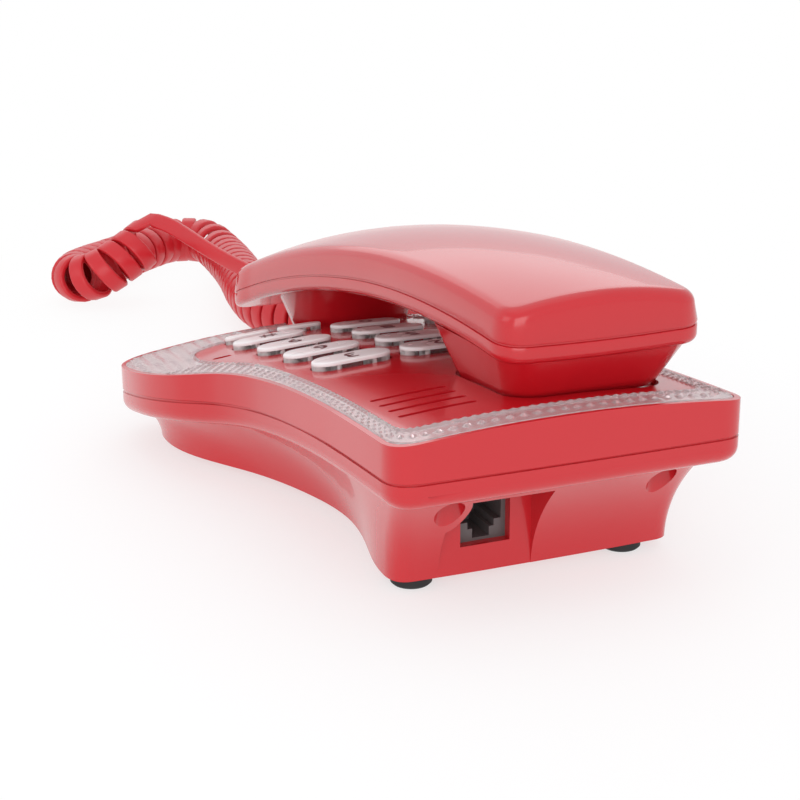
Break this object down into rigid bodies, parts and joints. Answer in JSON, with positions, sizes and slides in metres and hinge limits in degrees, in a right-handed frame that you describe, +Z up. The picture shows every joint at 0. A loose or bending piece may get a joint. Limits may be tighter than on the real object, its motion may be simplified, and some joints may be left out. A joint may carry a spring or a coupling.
{
  "type": "corded desk telephone",
  "caption": "Small arched desk telephone with a flared base, a clear light ring round the keypad, a lengthwise handset and a coiled flat cord.",
  "frame": {"origin": "on the table, below the centre of the telephone (base and handset together, without the cord)", "axes": "+Z up; +Y towards the rear wall with the line socket; the user sits at -Y and +X is on the user's right"},
  "size_m": [0.1558, 0.3633, 0.0679],
  "materials": {
    "red_plastic": "glossy moulded plastic",
    "clear_plastic": "clear moulded plastic with ridges and dimples",
    "key_plastic": "clear and white moulded keys, printed",
    "mat_rubber": "moulded silicone",
    "circuit_board": "phenolic board",
    "black_plastic": "moulded, matt",
    "jack_plastic": "moulded, dark grey",
    "contact_metal": "plated spring wire",
    "screw_steel": "plated",
    "weight_iron": "plain bar",
    "foot_rubber": "black rubber",
    "plug_plastic": "clear moulded plug",
    "cord_jacket": "flexible vinyl jacket, satin"
  },
  "bodies": {
    "base": {"top_housing": "red_plastic", "bottom_housing": "red_plastic", "light_ring": "clear_plastic", "keypad_mat": "mat_rubber", "keypad_board": "circuit_board", "main_board": "circuit_board", "ringer_speaker": "black_plastic", "hook_switch": "black_plastic", "line_jack": "jack_plastic", "cord_socket": "jack_plastic", "line_jack_contacts": "contact_metal", "case_screw_left": "screw_steel", "case_screw_right": "screw_steel", "rubber_foot_rear_left": "foot_rubber", "rubber_foot_rear_right": "foot_rubber", "rubber_foot_front_left": "foot_rubber", "rubber_foot_front_right": "foot_rubber", "cord_plug_base": "plug_plastic", "cord_tail_handset": "cord_jacket", "cord_coil": "cord_jacket", "cord_tail_base": "cord_jacket"},
    "handset": {"handset_top_shell": "red_plastic", "handset_bottom_shell": "red_plastic", "receiver_capsule": "black_plastic", "microphone_capsule": "black_plastic", "handset_weight": "weight_iron", "handset_socket": "jack_plastic", "handset_screw": "screw_steel", "cord_plug_handset": "plug_plastic"},
    "hook_plunger": {"hook_plunger": "red_plastic"},
    "key_1": {"key_1": "key_plastic"},
    "key_2": {"key_2": "key_plastic"},
    "key_3": {"key_3": "key_plastic"},
    "key_4": {"key_4": "key_plastic"},
    "key_5": {"key_5": "key_plastic"},
    "key_6": {"key_6": "key_plastic"},
    "key_7": {"key_7": "key_plastic"},
    "key_8": {"key_8": "key_plastic"},
    "key_9": {"key_9": "key_plastic"},
    "key_star": {"key_star": "key_plastic"},
    "key_0": {"key_0": "key_plastic"},
    "key_hash": {"key_hash": "key_plastic"},
    "key_flash": {"key_flash": "key_plastic"},
    "key_redial": {"key_redial": "key_plastic"}
  },
  "joints": [
    {"name": "handset_lift", "type": "slide", "parent": "base", "child": "handset", "axis": [0, 0, 1], "range_m": [0, 0.06]},
    {"name": "hook_rise", "type": "slide", "parent": "base", "child": "hook_plunger", "axis": [0, 0, 1], "range_m": [0, 0.003]},
    {"name": "key_1_press", "type": "slide", "parent": "base", "child": "key_1", "axis": [0, 0.1392, -0.9903], "range_m": [0, 0.0012], "stiffness_N_per_m": 300, "springref_m": -0.0005},
    {"name": "key_2_press", "type": "slide", "parent": "base", "child": "key_2", "axis": [0, 0.1392, -0.9903], "range_m": [0, 0.0012], "stiffness_N_per_m": 300, "springref_m": -0.0005},
    {"name": "key_3_press", "type": "slide", "parent": "base", "child": "key_3", "axis": [0, 0.1392, -0.9903], "range_m": [0, 0.0012], "stiffness_N_per_m": 300, "springref_m": -0.0005},
    {"name": "key_4_press", "type": "slide", "parent": "base", "child": "key_4", "axis": [0, 0.1392, -0.9903], "range_m": [0, 0.0012], "stiffness_N_per_m": 300, "springref_m": -0.0005},
    {"name": "key_5_press", "type": "slide", "parent": "base", "child": "key_5", "axis": [0, 0.1392, -0.9903], "range_m": [0, 0.0012], "stiffness_N_per_m": 300, "springref_m": -0.0005},
    {"name": "key_6_press", "type": "slide", "parent": "base", "child": "key_6", "axis": [0, 0.1392, -0.9903], "range_m": [0, 0.0012], "stiffness_N_per_m": 300, "springref_m": -0.0005},
    {"name": "key_7_press", "type": "slide", "parent": "base", "child": "key_7", "axis": [0, 0.1392, -0.9903], "range_m": [0, 0.0012], "stiffness_N_per_m": 300, "springref_m": -0.0005},
    {"name": "key_8_press", "type": "slide", "parent": "base", "child": "key_8", "axis": [0, 0.1392, -0.9903], "range_m": [0, 0.0012], "stiffness_N_per_m": 300, "springref_m": -0.0005},
    {"name": "key_9_press", "type": "slide", "parent": "base", "child": "key_9", "axis": [0, 0.1392, -0.9903], "range_m": [0, 0.0012], "stiffness_N_per_m": 300, "springref_m": -0.0005},
    {"name": "key_star_press", "type": "slide", "parent": "base", "child": "key_star", "axis": [0, 0.1392, -0.9903], "range_m": [0, 0.0012], "stiffness_N_per_m": 300, "springref_m": -0.0005},
    {"name": "key_0_press", "type": "slide", "parent": "base", "child": "key_0", "axis": [0, 0.1392, -0.9903], "range_m": [0, 0.0012], "stiffness_N_per_m": 300, "springref_m": -0.0005},
    {"name": "key_hash_press", "type": "slide", "parent": "base", "child": "key_hash", "axis": [0, 0.1392, -0.9903], "range_m": [0, 0.0012], "stiffness_N_per_m": 300, "springref_m": -0.0005},
    {"name": "key_flash_press", "type": "slide", "parent": "base", "child": "key_flash", "axis": [0, 0.1392, -0.9903], "range_m": [0, 0.0012], "stiffness_N_per_m": 300, "springref_m": -0.0005},
    {"name": "key_redial_press", "type": "slide", "parent": "base", "child": "key_redial", "axis": [0, 0.1392, -0.9903], "range_m": [0, 0.0012], "stiffness_N_per_m": 300, "springref_m": -0.0005}
  ],
  "couplings": [
    {"joint": "hook_rise", "follows": "handset_lift", "ratio": 0.05}
  ]
}
